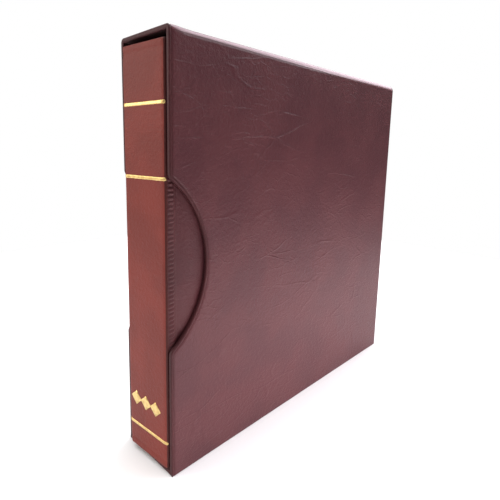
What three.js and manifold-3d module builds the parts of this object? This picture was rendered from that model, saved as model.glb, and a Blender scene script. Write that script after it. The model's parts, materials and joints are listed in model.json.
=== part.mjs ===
// A ring-binder stamp album in its matching slipcase, standing upright.
// Millimetres. X is the thickness (front cover towards +X), Y the depth (spine and case mouth towards -Y,
// closed rear of the case towards +Y) and Z the height. The origin is under the middle of the case.
import * as THREE from "three";
import { mergeVertices } from "three/addons/utils/BufferGeometryUtils.js";
import Module from "manifold-3d";

const wasm = await Module();
wasm.setup();

// ---------------------------------------------------------------- driving dimensions

// slipcase
const CASE_W = 51;
const CASE_H = 270;
const REAR_Y = 135;
const MOUTH_Y = -131;
const SKIN = 0.5;
const BOARD = 1.8;
const LINING = 0.4;
const GAP = 0.15;
const RIM = 0.8;
const TOP_ROUND = 5;
const FOOT_ROUND = 1.5;
const FOOT_LIFT = 0.1;
const NOTCH_R = 64;
const NOTCH_CENTRE_Y = MOUTH_Y - 37;
const NOTCH_CENTRE_Z = 135.5;
const ARC_STEPS = 28;
// the wall boards stop short of the rounded top edge and of the foot
const SIDE_BOARD_FOOT = FOOT_LIFT + 1.2;
const SIDE_BOARD_TOP = CASE_H - 4;
const TOP_BOARD_HALF = 21.2;
// how far a cutting tool runs past what it cuts
const OVERRUN = 2;

// depths of the wall's layers below its outer face
const BOARD_OUT = SKIN + GAP;
const BOARD_IN = BOARD_OUT + BOARD;
const LINING_OUT = BOARD_IN + GAP;
const WALL = LINING_OUT + LINING;
const HALF_W = CASE_W / 2;
const LAYERS_FRONT_Y = MOUTH_Y + RIM + GAP;

// album
const ALBUM_HALF = 20.5;
const ALBUM_SHIFT_X = 1.5;
const ALBUM_Z0 = WALL + 0.2;
const ALBUM_H = 260;
const ALBUM_Z1 = ALBUM_Z0 + ALBUM_H;
const ALBUM_MID_Z = ALBUM_Z0 + ALBUM_H / 2;

// spine: its padded face slants, standing further out of the case along the back cover's edge
const SPINE_OUT_BACK = 4;
const SPINE_OUT_FRONT = 1.3;
const SPINE_ROUND_BACK = 3;
const SPINE_ROUND_FRONT = 1.7;
const SPINE_SKIN = 0.6;
const SPINE_END_Y = MOUTH_Y + 0.5;
const SPINE_BOARD = 1.6;
const SPINE_BOARD_Y = MOUTH_Y - 0.2;
const SPINE_BOARD_HALF = 17.5;
const SPINE_BOARD_INSET = 0.8;
const SPINE_LINING_Y = SPINE_BOARD_Y + SPINE_BOARD + GAP;
const SPINE_LINING_INSET = 0.2;
const LAYER_GAP = 0.1;

// hinge strips between the spine and the covers, with their embossed welds
const HINGE_Y0 = SPINE_END_Y + GAP;
const RIB_END_Y = HINGE_Y0 + 4.15;
const HINGE_Y1 = RIB_END_Y + 1.2;
const RIB_PITCH = 2.7;
const RIB_H = 0.4;
const HINGE_THICK = 0.4;
const RIB_MARGIN = 2;

// padded covers
const COVER_T = 3.8;
const COVER_Y0 = HINGE_Y1 + 0.2;
const COVER_Y1 = REAR_Y - 6.1;
const COVER_SKIN = 0.5;
const COVER_RIM = 0.6;
const COVER_LINING = 0.45;
const COVER_BOARD = 1.9;
const COVER_INNER = ALBUM_HALF - COVER_T;

// gold foil pressed into the spine
const FOIL_T = 0.15;
const FOIL_SINK = 0.25;
const FOIL_MARGIN = 0.1;
const FOIL_LINE_H = 2;
const FOIL_LINE_HALF = 17.3;
const FOIL_LINE_X = 0.8;
const FOIL_LINE_Z = { top: 229.5, middle: 187, bottom: 21.7 };
const ORNAMENT_Z = 40.5;
const ORNAMENT_X = -0.75;
const ORNAMENT_LINK = 0.8;
const DIAMOND_W = 10;
const DIAMOND_H = 10;

// ring mechanism, seated on the lining inside the spine
const SEAT_Y = SPINE_LINING_Y + LINING;
const RING_Z = [-105, -35, 35, 105];
const RING_R = 12;
const WIRE_R = 1.25;
const RING_CENTRE_Y = SEAT_Y + 15.8;
const RING_GAP = 0.3;
const PLATE_HALF_H = 118;
const PLATE_TOP_Y = SEAT_Y + 6.75;
const PLATE_FOOT_Y = SEAT_Y + GAP;
const PLATE_HALF_W = 11.2;
const PLATE_T = 0.8;
const PLATE_ROUND = 3;
const SLOT_X0 = 5.6;
const SLOT_FOOT_Y = SEAT_Y + 2.95;
const SLOT_H = 3.3;
const LEAF_PIVOT_X = 9.9;
const LEAF_PIVOT_Y = SEAT_Y + 3.75;
const LEAF_T = 0.8;
const LEAF_LIP = 0.3;
const LEAF_HALF_H = 108.5;
const LEAF_REST = THREE.MathUtils.degToRad(7);
const LEAF_INNER = RING_GAP / 2 - LEAF_PIVOT_X;
const SHANK_X = 7.3;
const SHANK_FOOT_Y = SEAT_Y + 2.35;
const SHANK_RISE = 1.7;
const RING_START = THREE.MathUtils.degToRad(-44);
const RING_STEPS = 9;
const RIVET_Z = 112.5;
const RIVET_R = 1.5;
const RIVET_HEAD_R = 2.6;
const RIVET_HEAD_T = 0.9;
const LEVER_PIVOT_Z = 117;
const LEVER_PIVOT_Y = SEAT_Y + 2.55;
const LEVER_HALF_W = 3.5;
const LEVER_T = 1.2;
const LEVER_REACH = 12;
const LEVER_FOOT = -2;
const LEVER_TAB_Z = 3.4;
const LEVER_LIP = 1.2;
const LEVER_PIN_R = 1;
const LEVER_PIN_HALF = 10.2;

// stock pages
const PAGE_COUNT = 8;
const PAGE_PITCH = 1.25;
const PAGE_T = 0.45;
const PAGE_H = 250;
const HOLE_Y = SEAT_Y + 27.95;
const PAGE_Y0 = HOLE_Y - 11;
const PAGE_Y1 = COVER_Y1 - 4.5;
const HOLE_R = 3.2;
const STRIPS = 6;
const STRIP_T = 0.25;
const STRIP_H = 34;
const STRIP_FOOT = 5;
const STRIP_SPINE_MARGIN = 20;
const STRIP_EDGE_MARGIN = 3;

// ---------------------------------------------------------------- colours

const LOOKS = {
  vinyl: { color: 0x6b3f44, roughness: 0.42, metalness: 0 },
  spine_vinyl: { color: 0x8a4c45, roughness: 0.42, metalness: 0 },
  board: { color: 0x8c8172, roughness: 0.9, metalness: 0 },
  lining: { color: 0x2a1818, roughness: 0.7, metalness: 0 },
  foam: { color: 0xd8d2c4, roughness: 0.95, metalness: 0 },
  foil: { color: 0xf2d27a, roughness: 0.25, metalness: 1 },
  steel: { color: 0xc4c6c9, roughness: 0.22, metalness: 1 },
  page: { color: 0x16161a, roughness: 0.35, metalness: 0 },
};

const materials = Object.fromEntries(
  Object.entries(LOOKS).map(([name, look]) => [name, new THREE.MeshStandardMaterial({ name, ...look })]),
);

// ---------------------------------------------------------------- helpers

function named(name, geometry, look) {
  const mesh = new THREE.Mesh(geometry, materials[look]);
  mesh.name = name;
  return mesh;
}

// A block between two opposite corners.
function block(x0, x1, y0, y1, z0, z1) {
  const geometry = new THREE.BoxGeometry(x1 - x0, y1 - y0, z1 - z0);
  return geometry.translate((x0 + x1) / 2, (y0 + y1) / 2, (z0 + z1) / 2);
}

function prism(shape, depth, curveSegments = 6) {
  return new THREE.ExtrudeGeometry(shape, { depth, bevelEnabled: false, curveSegments });
}

// A shape drawn in (x, y), standing from z0 to z1.
function uprightPrism(shape, z0, z1, curveSegments) {
  return prism(shape, z1 - z0, curveSegments).translate(0, 0, z0);
}

// A shape drawn in (y, z), running across from x0 to x1.
function crossPrism(shape, x0, x1, curveSegments) {
  const turn = new THREE.Matrix4().makeBasis(
    new THREE.Vector3(0, 1, 0),
    new THREE.Vector3(0, 0, 1),
    new THREE.Vector3(1, 0, 0),
  );
  return prism(shape, x1 - x0, curveSegments).applyMatrix4(turn).translate(x0, 0, 0);
}

// A shape drawn in (x, z), running back from y0 to y1.
function backPrism(shape, y0, y1, curveSegments) {
  const turn = new THREE.Matrix4().makeBasis(
    new THREE.Vector3(1, 0, 0),
    new THREE.Vector3(0, 0, 1),
    new THREE.Vector3(0, -1, 0),
  );
  return prism(shape, y1 - y0, curveSegments).applyMatrix4(turn).translate(0, y1, 0);
}

function outline(points) {
  return new THREE.Shape(points.map(([a, b]) => new THREE.Vector2(a, b)));
}

function toSolid(geometry) {
  const plain = geometry.index ? geometry.toNonIndexed() : geometry.clone();
  plain.deleteAttribute("normal");
  plain.deleteAttribute("uv");
  const merged = mergeVertices(plain, 1e-4);
  return new wasm.Manifold(
    new wasm.Mesh({
      numProp: 3,
      vertProperties: new Float32Array(merged.getAttribute("position").array),
      triVerts: new Uint32Array(merged.index.array),
    }),
  );
}

function toGeometry(solid) {
  const mesh = solid.getMesh();
  const geometry = new THREE.BufferGeometry();
  geometry.setAttribute("position", new THREE.BufferAttribute(mesh.vertProperties, 3));
  geometry.setIndex(new THREE.BufferAttribute(mesh.triVerts, 1));
  const flat = geometry.toNonIndexed();
  flat.computeVertexNormals();
  return flat;
}

function cut(body, ...tools) {
  return toGeometry(tools.reduce((solid, tool) => solid.subtract(toSolid(tool)), toSolid(body)));
}

function join(body, ...others) {
  return toGeometry(others.reduce((solid, other) => solid.add(toSolid(other)), toSolid(body)));
}

// The same shape on the other side of the YZ plane, with its faces still pointing out.
function mirrorX(geometry) {
  const flipped = (geometry.index ? geometry.toNonIndexed() : geometry.clone()).scale(-1, 1, 1);
  const position = flipped.getAttribute("position");
  const a = new THREE.Vector3();
  const b = new THREE.Vector3();
  for (let i = 0; i < position.count; i += 3) {
    a.fromBufferAttribute(position, i);
    b.fromBufferAttribute(position, i + 1);
    position.setXYZ(i, b.x, b.y, b.z);
    position.setXYZ(i + 1, a.x, a.y, a.z);
  }
  flipped.computeVertexNormals();
  return flipped;
}

// ---------------------------------------------------------------- slipcase

// The round tool that opens the thumb notch in a side wall, grown by `grow`.
function notchTool(grow) {
  const shape = new THREE.Shape().absarc(NOTCH_CENTRE_Y, NOTCH_CENTRE_Z, NOTCH_R + grow, 0, 2 * Math.PI);
  return crossPrism(shape, HALF_W - WALL - OVERRUN, HALF_W + OVERRUN, ARC_STEPS * 2);
}

// One side's outer sheet: it turns over the top edge in a soft round and under the foot in a tight one.
function caseSideSkin() {
  const shape = new THREE.Shape();
  const topZ = CASE_H - TOP_ROUND;
  const topX = HALF_W - TOP_ROUND;
  const footZ = FOOT_LIFT + FOOT_ROUND;
  const footX = HALF_W - FOOT_ROUND;
  shape.moveTo(footX, FOOT_LIFT);
  shape.absarc(footX, footZ, FOOT_ROUND, -Math.PI / 2, 0);
  shape.absarc(topX, topZ, TOP_ROUND, 0, Math.PI / 2);
  shape.lineTo(topX, CASE_H - SKIN);
  shape.absarc(topX, topZ, TOP_ROUND - SKIN, Math.PI / 2, 0, true);
  shape.absarc(footX, footZ, FOOT_ROUND - SKIN, 0, -Math.PI / 2, true);
  return cut(backPrism(shape, LAYERS_FRONT_Y, REAR_Y), notchTool(RIM + GAP));
}

function caseSideBoard() {
  const plate = block(
    HALF_W - BOARD_IN, HALF_W - BOARD_OUT,
    LAYERS_FRONT_Y, REAR_Y - BOARD_OUT,
    SIDE_BOARD_FOOT, SIDE_BOARD_TOP,
  );
  return cut(plate, notchTool(RIM + GAP));
}

function caseSideLining() {
  const plate = block(
    HALF_W - WALL, HALF_W - LINING_OUT,
    LAYERS_FRONT_Y, REAR_Y - LINING_OUT,
    LINING_OUT, CASE_H - LINING_OUT,
  );
  return cut(plate, notchTool(RIM + GAP));
}

// The welded rim that closes a side wall's layers along the mouth and round the notch.
function caseSideRim() {
  const half = (r, y) => Math.sqrt(r ** 2 - (y - NOTCH_CENTRE_Y) ** 2);
  const start = Math.asin(half(NOTCH_R, MOUTH_Y) / NOTCH_R);
  const inner = Math.asin(half(NOTCH_R + RIM, MOUTH_Y + RIM) / (NOTCH_R + RIM));
  const z0 = WALL + GAP;
  const z1 = CASE_H - WALL - GAP;
  const shape = new THREE.Shape();
  shape.moveTo(MOUTH_Y, z0);
  shape.absarc(NOTCH_CENTRE_Y, NOTCH_CENTRE_Z, NOTCH_R, -start, start);
  shape.lineTo(MOUTH_Y, z1);
  shape.lineTo(MOUTH_Y + RIM, z1);
  shape.absarc(NOTCH_CENTRE_Y, NOTCH_CENTRE_Z, NOTCH_R + RIM, inner, -inner, true);
  shape.lineTo(MOUTH_Y + RIM, z0);
  return crossPrism(shape, HALF_W - WALL, HALF_W, ARC_STEPS);
}

// The sheet across the rear, its corners following the rounds of the side sheets.
function caseRearSkin() {
  const x = HALF_W - BOARD_OUT;
  const z0 = BOARD_OUT;
  const z1 = CASE_H - BOARD_OUT;
  const topRound = TOP_ROUND - BOARD_OUT;
  const footRound = FOOT_ROUND - BOARD_OUT;
  const shape = new THREE.Shape();
  shape.moveTo(x - footRound, z0 + FOOT_LIFT);
  shape.absarc(x - footRound, z0 + FOOT_LIFT + footRound, footRound, -Math.PI / 2, 0);
  shape.absarc(x - topRound, z1 - topRound, topRound, 0, Math.PI / 2);
  shape.absarc(topRound - x, z1 - topRound, topRound, Math.PI / 2, Math.PI);
  shape.absarc(footRound - x, z0 + FOOT_LIFT + footRound, footRound, Math.PI, 1.5 * Math.PI);
  return backPrism(shape, REAR_Y - SKIN, REAR_Y);
}

function buildCase() {
  const group = new THREE.Group();
  const skinTopX = HALF_W - TOP_ROUND - GAP;
  const skinFootX = HALF_W - FOOT_ROUND - GAP;
  const boardX = HALF_W - BOARD_IN - GAP;
  const liningX = HALF_W - WALL - GAP;
  const backOfLayers = REAR_Y - LINING_OUT;
  const sides = {
    skin: [caseSideSkin(), "vinyl"],
    board: [caseSideBoard(), "board"],
    lining: [caseSideLining(), "lining"],
    rim: [caseSideRim(), "vinyl"],
  };
  for (const [piece, [geometry, look]] of Object.entries(sides)) {
    group.add(named(`case_front_side_${piece}`, geometry, look));
    group.add(named(`case_back_side_${piece}`, mirrorX(geometry), look));
  }
  group.add(
    named("case_top_skin", block(-skinTopX, skinTopX, LAYERS_FRONT_Y, REAR_Y, CASE_H - SKIN, CASE_H), "vinyl"),
    named("case_bottom_skin", block(-skinFootX, skinFootX, LAYERS_FRONT_Y, REAR_Y, 0, SKIN), "vinyl"),
    named("case_rear_skin", caseRearSkin(), "vinyl"),
    named(
      "case_top_board",
      block(
        -TOP_BOARD_HALF, TOP_BOARD_HALF,
        LAYERS_FRONT_Y, REAR_Y - BOARD_OUT,
        CASE_H - BOARD_IN, CASE_H - BOARD_OUT,
      ),
      "board",
    ),
    named(
      "case_bottom_board",
      block(-boardX, boardX, LAYERS_FRONT_Y, REAR_Y - BOARD_OUT, BOARD_OUT, BOARD_IN),
      "board",
    ),
    named(
      "case_rear_board",
      block(-boardX, boardX, REAR_Y - BOARD_IN, REAR_Y - BOARD_OUT, LINING_OUT, CASE_H - LINING_OUT),
      "board",
    ),
    named(
      "case_top_lining",
      block(-liningX, liningX, LAYERS_FRONT_Y, REAR_Y - WALL - GAP, CASE_H - WALL, CASE_H - LINING_OUT),
      "lining",
    ),
    named(
      "case_bottom_lining",
      block(-liningX, liningX, LAYERS_FRONT_Y, REAR_Y - WALL - GAP, LINING_OUT, WALL),
      "lining",
    ),
    named(
      "case_rear_lining",
      block(-liningX, liningX, REAR_Y - WALL, backOfLayers, LINING_OUT, CASE_H - LINING_OUT),
      "lining",
    ),
    named("case_top_rim", block(-HALF_W, HALF_W, MOUTH_Y, MOUTH_Y + RIM, CASE_H - WALL, CASE_H), "vinyl"),
    named("case_bottom_rim", block(-HALF_W, HALF_W, MOUTH_Y, MOUTH_Y + RIM, FOOT_LIFT, WALL), "vinyl"),
  );
  return group;
}

// ---------------------------------------------------------------- album cover

// The centres of the spine's two rounded long edges, and the slant of the flat face that joins them.
const backRound = new THREE.Vector2(SPINE_ROUND_BACK - ALBUM_HALF, MOUTH_Y - SPINE_OUT_BACK + SPINE_ROUND_BACK);
const frontRound = new THREE.Vector2(ALBUM_HALF - SPINE_ROUND_FRONT, MOUTH_Y - SPINE_OUT_FRONT + SPINE_ROUND_FRONT);
const roundToRound = frontRound.clone().sub(backRound);
const SLANT = roundToRound.angle() + Math.asin((SPINE_ROUND_BACK - SPINE_ROUND_FRONT) / roundToRound.length());

// The y of the spine's flat face at a place across it.
function faceY(x) {
  const startX = backRound.x + SPINE_ROUND_BACK * Math.sin(SLANT);
  const startY = backRound.y - SPINE_ROUND_BACK * Math.cos(SLANT);
  return startY + (x - startX) * Math.tan(SLANT);
}

// Moves a shape made on the plane y = 0 onto the spine's slanted face.
function ontoFace(geometry) {
  return geometry.rotateZ(SLANT).translate(0, faceY(0), 0);
}

// A bar with round ends, drawn in (x, z).
function foilBar(z, grow) {
  const r = FOIL_LINE_H / 2 + grow;
  const x = FOIL_LINE_HALF - FOIL_LINE_H / 2;
  const shape = new THREE.Shape();
  shape.moveTo(FOIL_LINE_X - x, z - r);
  shape.absarc(FOIL_LINE_X + x, z, r, -Math.PI / 2, Math.PI / 2);
  shape.absarc(FOIL_LINE_X - x, z, r, Math.PI / 2, 1.5 * Math.PI);
  return shape;
}

// Three linked diamonds, drawn in (x, z).
function ornamentShape(grow) {
  const link = ORNAMENT_LINK / 2 + grow;
  const h = DIAMOND_H / 2 + grow;
  const half = DIAMOND_W / 2;
  const upper = [];
  for (const i of [-1, 0, 1]) {
    const x = ORNAMENT_X + i * DIAMOND_W;
    upper.push([x - half - (i === -1 ? grow : 0), link], [x, h]);
  }
  upper.push([ORNAMENT_X + 1.5 * DIAMOND_W + grow, link]);
  const lower = upper.map(([x, z]) => [x, -z]).reverse();
  return outline([...upper, ...lower].map(([x, z]) => [x, ORNAMENT_Z + z]).reverse());
}

const foilShapes = {
  spine_line_top: (grow) => foilBar(FOIL_LINE_Z.top, grow),
  spine_line_middle: (grow) => foilBar(FOIL_LINE_Z.middle, grow),
  spine_line_bottom: (grow) => foilBar(FOIL_LINE_Z.bottom, grow),
  spine_ornament: ornamentShape,
};

// The outer sheet of the spine: a shallow channel with softly rounded long edges and pressed foil beds.
function spineSkin() {
  const toFace = SLANT - Math.PI / 2;
  const shape = new THREE.Shape();
  shape.moveTo(-ALBUM_HALF, SPINE_END_Y);
  shape.absarc(backRound.x, backRound.y, SPINE_ROUND_BACK, -Math.PI, toFace);
  shape.absarc(frontRound.x, frontRound.y, SPINE_ROUND_FRONT, toFace, 0);
  shape.lineTo(ALBUM_HALF, SPINE_END_Y);
  shape.lineTo(ALBUM_HALF - SPINE_SKIN, SPINE_END_Y);
  shape.absarc(frontRound.x, frontRound.y, SPINE_ROUND_FRONT - SPINE_SKIN, 0, toFace, true);
  shape.absarc(backRound.x, backRound.y, SPINE_ROUND_BACK - SPINE_SKIN, toFace, -Math.PI, true);
  shape.lineTo(SPINE_SKIN - ALBUM_HALF, SPINE_END_Y);
  const beds = Object.values(foilShapes).map((draw) => {
    return ontoFace(backPrism(draw(FOIL_MARGIN), -OVERRUN, FOIL_SINK));
  });
  return cut(uprightPrism(shape, ALBUM_Z0, ALBUM_Z1), ...beds);
}

// The wedge of padding that fills the space between the slanted face and the flat board.
function spineFoam() {
  const inset = (SPINE_SKIN + LAYER_GAP) / Math.cos(SLANT);
  const x = SPINE_BOARD_HALF;
  const flatY = SPINE_BOARD_Y - LAYER_GAP;
  const shape = outline([[-x, faceY(-x) + inset], [x, faceY(x) + inset], [x, flatY], [-x, flatY]]);
  return uprightPrism(shape, ALBUM_Z0 + SPINE_BOARD_INSET, ALBUM_Z1 - SPINE_BOARD_INSET);
}

// The hinge strip: a thin band with a column of raised weld ribs and a plain edge next to the cover.
function hingeStrip() {
  const base = ALBUM_HALF - RIB_H - HINGE_THICK;
  const face = base + HINGE_THICK;
  const count = Math.floor((ALBUM_H - 2 * RIB_MARGIN) / RIB_PITCH);
  const first = ALBUM_MID_Z - (count * RIB_PITCH) / 2;
  const points = [[base, ALBUM_Z0], [face, ALBUM_Z0]];
  for (let i = 0; i < count; i += 1) {
    const z = first + i * RIB_PITCH;
    points.push(
      [face, z],
      [ALBUM_HALF, z + 0.3 * RIB_PITCH],
      [ALBUM_HALF, z + 0.7 * RIB_PITCH],
    );
  }
  points.push([face, first + count * RIB_PITCH], [face, ALBUM_Z1], [base, ALBUM_Z1]);
  const ribbed = backPrism(outline(points), HINGE_Y0, RIB_END_Y);
  const plain = block(base, face, RIB_END_Y - 1, HINGE_Y1, ALBUM_Z0, ALBUM_Z1);
  return join(ribbed, plain);
}

// The outer sheet of a cover: a shallow tray turned in all round over the padding and the board.
function coverSkin() {
  const outer = block(COVER_INNER, ALBUM_HALF, COVER_Y0, COVER_Y1, ALBUM_Z0, ALBUM_Z1);
  const pocket = block(
    COVER_INNER - OVERRUN, ALBUM_HALF - COVER_SKIN,
    COVER_Y0 + COVER_RIM, COVER_Y1 - COVER_RIM,
    ALBUM_Z0 + COVER_RIM, ALBUM_Z1 - COVER_RIM,
  );
  return cut(outer, pocket);
}

// A layer inside the cover's tray.
function coverLayer(x0, x1) {
  const inset = COVER_RIM + LAYER_GAP;
  return block(x0, x1, COVER_Y0 + inset, COVER_Y1 - inset, ALBUM_Z0 + inset, ALBUM_Z1 - inset);
}

function spineBoard() {
  const plate = block(
    -SPINE_BOARD_HALF, SPINE_BOARD_HALF,
    SPINE_BOARD_Y, SPINE_BOARD_Y + SPINE_BOARD,
    ALBUM_Z0 + SPINE_BOARD_INSET, ALBUM_Z1 - SPINE_BOARD_INSET,
  );
  return cut(plate, ...rivetHoles());
}

function spineLining() {
  const x = ALBUM_HALF - RIB_H - HINGE_THICK - SPINE_LINING_INSET;
  const sheet = block(
    -x, x,
    SPINE_LINING_Y, SPINE_LINING_Y + LINING,
    ALBUM_Z0 + SPINE_LINING_INSET, ALBUM_Z1 - SPINE_LINING_INSET,
  );
  return cut(sheet, ...rivetHoles());
}

function buildCovers() {
  const group = new THREE.Group();
  group.add(named("spine_skin", spineSkin(), "spine_vinyl"));
  for (const [name, draw] of Object.entries(foilShapes)) {
    group.add(named(name, ontoFace(backPrism(draw(0), 0, FOIL_T)), "foil"));
  }
  group.add(named("spine_foam", spineFoam(), "foam"));
  group.add(named("spine_board", spineBoard(), "board"));
  group.add(named("spine_lining", spineLining(), "lining"));
  const liningX1 = COVER_INNER + COVER_LINING;
  const boardX0 = liningX1 + LAYER_GAP;
  const boardX1 = boardX0 + COVER_BOARD;
  const pieces = {
    hinge_strip: [hingeStrip(), "vinyl"],
    cover_skin: [coverSkin(), "vinyl"],
    cover_foam: [coverLayer(boardX1 + LAYER_GAP, ALBUM_HALF - COVER_SKIN - LAYER_GAP), "foam"],
    cover_board: [coverLayer(boardX0, boardX1), "board"],
    cover_lining: [coverLayer(COVER_INNER, liningX1), "lining"],
  };
  for (const [piece, [geometry, look]] of Object.entries(pieces)) {
    group.add(named(`front_${piece}`, geometry, look));
    group.add(named(`back_${piece}`, mirrorX(geometry), look));
  }
  return group;
}

// ---------------------------------------------------------------- ring mechanism

// A cylinder along Y, from y0 to y1, on the line x = 0 at height z.
function boltAlongY(r, y0, y1, z) {
  const geometry = new THREE.CylinderGeometry(r, r, y1 - y0, 16);
  return geometry.translate(0, (y0 + y1) / 2, z);
}

function rivetHoles() {
  return [-1, 1].map((end) => {
    const z = ALBUM_MID_Z + end * RIVET_Z;
    return boltAlongY(RIVET_R + GAP, SPINE_BOARD_Y - OVERRUN, PLATE_TOP_Y + OVERRUN, z);
  });
}

// The arched steel channel that carries the leaves, with side slots where the rings come out.
function ringPlate() {
  const w = PLATE_HALF_W;
  const r = PLATE_ROUND;
  const inner = r - PLATE_T;
  const shape = new THREE.Shape();
  shape.moveTo(w, PLATE_FOOT_Y);
  shape.absarc(w - r, PLATE_TOP_Y - r, r, 0, Math.PI / 2);
  shape.absarc(r - w, PLATE_TOP_Y - r, r, Math.PI / 2, Math.PI);
  shape.lineTo(-w, PLATE_FOOT_Y);
  shape.lineTo(PLATE_T - w, PLATE_FOOT_Y);
  shape.absarc(r - w, PLATE_TOP_Y - r, inner, Math.PI, Math.PI / 2, true);
  shape.absarc(w - r, PLATE_TOP_Y - r, inner, Math.PI / 2, 0, true);
  shape.lineTo(w - PLATE_T, PLATE_FOOT_Y);
  const channel = uprightPrism(shape, ALBUM_MID_Z - PLATE_HALF_H, ALBUM_MID_Z + PLATE_HALF_H, 5);
  const slots = RING_Z.flatMap((z) => {
    const z0 = ALBUM_MID_Z + z - SLOT_H / 2;
    const right = block(SLOT_X0, w + OVERRUN, SLOT_FOOT_Y, PLATE_TOP_Y + OVERRUN, z0, z0 + SLOT_H);
    return [right, mirrorX(right)];
  });
  return cut(channel, ...slots, ...rivetHoles());
}

// A button-headed rivet that holds the channel to the spine board.
function rivet() {
  const shankFoot = SPINE_BOARD_Y + LAYER_GAP;
  const headFoot = PLATE_TOP_Y + LAYER_GAP;
  const profile = [
    [0, shankFoot],
    [RIVET_R, shankFoot],
    [RIVET_R, headFoot],
    [RIVET_HEAD_R, headFoot],
    [RIVET_HEAD_R, headFoot + RIVET_HEAD_T * 0.35],
    [RIVET_HEAD_R * 0.7, headFoot + RIVET_HEAD_T * 0.85],
    [0, headFoot + RIVET_HEAD_T],
  ];
  return new THREE.LatheGeometry(profile.map(([r, y]) => new THREE.Vector2(r, y)), 20);
}

// The sprung leaf on the +X side, lying at its closed slope, with a hole for each ring's shank.
function leaf() {
  const plate = block(LEAF_INNER, LEAF_LIP, -LEAF_T / 2, LEAF_T / 2, -LEAF_HALF_H, LEAF_HALF_H);
  plate.rotateZ(LEAF_REST).translate(LEAF_PIVOT_X, LEAF_PIVOT_Y, 0);
  const holes = RING_Z.map((z) => {
    const hole = new THREE.CylinderGeometry(WIRE_R + 0.2, WIRE_R + 0.2, 4, 12);
    return hole.translate(SHANK_X, LEAF_PIVOT_Y - 0.4, z);
  });
  return cut(plate, ...holes);
}

// Half of a round ring on the +X side, from its shank in the leaf to its tip at the middle.
function ringHalf() {
  const points = [
    new THREE.Vector3(SHANK_X, SHANK_FOOT_Y, 0),
    new THREE.Vector3(SHANK_X, SHANK_FOOT_Y + SHANK_RISE, 0),
  ];
  const end = Math.acos(RING_GAP / 2 / RING_R);
  for (let i = 0; i <= RING_STEPS; i += 1) {
    const a = RING_START + ((end - RING_START) * i) / RING_STEPS;
    points.push(new THREE.Vector3(RING_R * Math.cos(a), RING_CENTRE_Y + RING_R * Math.sin(a), 0));
  }
  const wire = new THREE.Shape().absarc(0, 0, WIRE_R, 0, 2 * Math.PI);
  return new THREE.ExtrudeGeometry(wire, {
    steps: 15,
    curveSegments: 4,
    bevelEnabled: false,
    extrudePath: new THREE.CatmullRomCurve3(points),
  });
}

// The opening lever at the top end: a thumb tab on a cross pin, drawn in (y, z) from the pin's axis.
function lever() {
  const half = LEVER_T / 2;
  const profile = outline([
    [-half, LEVER_FOOT],
    [-half, LEVER_TAB_Z],
    [LEVER_REACH - LEVER_LIP, LEVER_TAB_Z],
    [LEVER_REACH, LEVER_TAB_Z + LEVER_LIP],
    [LEVER_REACH + half, LEVER_TAB_Z + LEVER_LIP - LEVER_T * 0.85],
    [LEVER_REACH - half, LEVER_TAB_Z - LEVER_T],
    [half, LEVER_TAB_Z - LEVER_T],
    [half, LEVER_FOOT],
  ].reverse());
  const tab = crossPrism(profile, -LEVER_HALF_W, LEVER_HALF_W);
  const pin = new THREE.CylinderGeometry(LEVER_PIN_R, LEVER_PIN_R, 2 * LEVER_PIN_HALF, 16).rotateZ(Math.PI / 2);
  return join(tab, pin);
}

function buildRings() {
  const group = new THREE.Group();
  group.position.z = ALBUM_MID_Z;
  const half = ringHalf();
  const leaves = { front: leaf(), back: mirrorX(leaf()) };
  const halves = { front: half, back: mirrorX(half) };
  for (const side of ["front", "back"]) {
    group.add(named(`ring_leaf_${side}`, leaves[side], "steel"));
    RING_Z.forEach((z, i) => {
      const wire = named(`ring_${i + 1}_half_${side}`, halves[side], "steel");
      wire.position.z = z;
      group.add(wire);
    });
  }
  const names = { 1: "top", [-1]: "bottom" };
  for (const end of [1, -1]) {
    const bolt = named(`rivet_${names[end]}`, rivet(), "steel");
    bolt.position.z = end * RIVET_Z;
    const tab = named(`lever_${names[end]}`, lever(), "steel");
    tab.position.set(0, LEVER_PIVOT_Y, end * LEVER_PIVOT_Z);
    tab.rotation.y = end === 1 ? 0 : Math.PI;
    tab.rotation.order = "YXZ";
    group.add(bolt, tab);
  }
  const plate = named("ring_plate", ringPlate(), "steel");
  plate.position.z = -ALBUM_MID_Z;
  group.add(plate);
  return group;
}

// ---------------------------------------------------------------- stock pages

// One stock page with its pocket strips on the front, drawn about x = 0 and the album's middle height.
function page() {
  const face = PAGE_T / 2;
  const sheet = block(-face, face, PAGE_Y0, PAGE_Y1, -PAGE_H / 2, PAGE_H / 2);
  const pitch = (PAGE_H - STRIP_FOOT) / STRIPS;
  const strips = Array.from({ length: STRIPS }, (_, i) => {
    const z = -PAGE_H / 2 + STRIP_FOOT + i * pitch;
    const y0 = PAGE_Y0 + STRIP_SPINE_MARGIN;
    return block(-face / 2, face + STRIP_T, y0, PAGE_Y1 - STRIP_EDGE_MARGIN, z, z + STRIP_H);
  });
  const holes = RING_Z.map((z) => {
    const hole = new THREE.CylinderGeometry(HOLE_R, HOLE_R, OVERRUN * 2, 14);
    return hole.rotateZ(Math.PI / 2).translate(0, HOLE_Y, z);
  });
  return cut(join(sheet, ...strips), ...holes);
}

function buildPages() {
  const group = new THREE.Group();
  group.position.z = ALBUM_MID_Z;
  const geometry = page();
  for (let i = 0; i < PAGE_COUNT; i += 1) {
    const sheet = named(`stock_page_${i + 1}`, geometry, "page");
    sheet.position.x = (i - (PAGE_COUNT - 1) / 2) * PAGE_PITCH;
    group.add(sheet);
  }
  return group;
}

// ---------------------------------------------------------------- assembly

const albumGroup = new THREE.Group();
albumGroup.position.x = ALBUM_SHIFT_X;
albumGroup.add(buildCovers(), buildRings(), buildPages());

const root = new THREE.Group();
root.add(buildCase(), albumGroup);

export default root;
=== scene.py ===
"""A ring-binder stamp album in its slipcase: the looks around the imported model, in metres and in its frame."""

import json
import math

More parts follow.
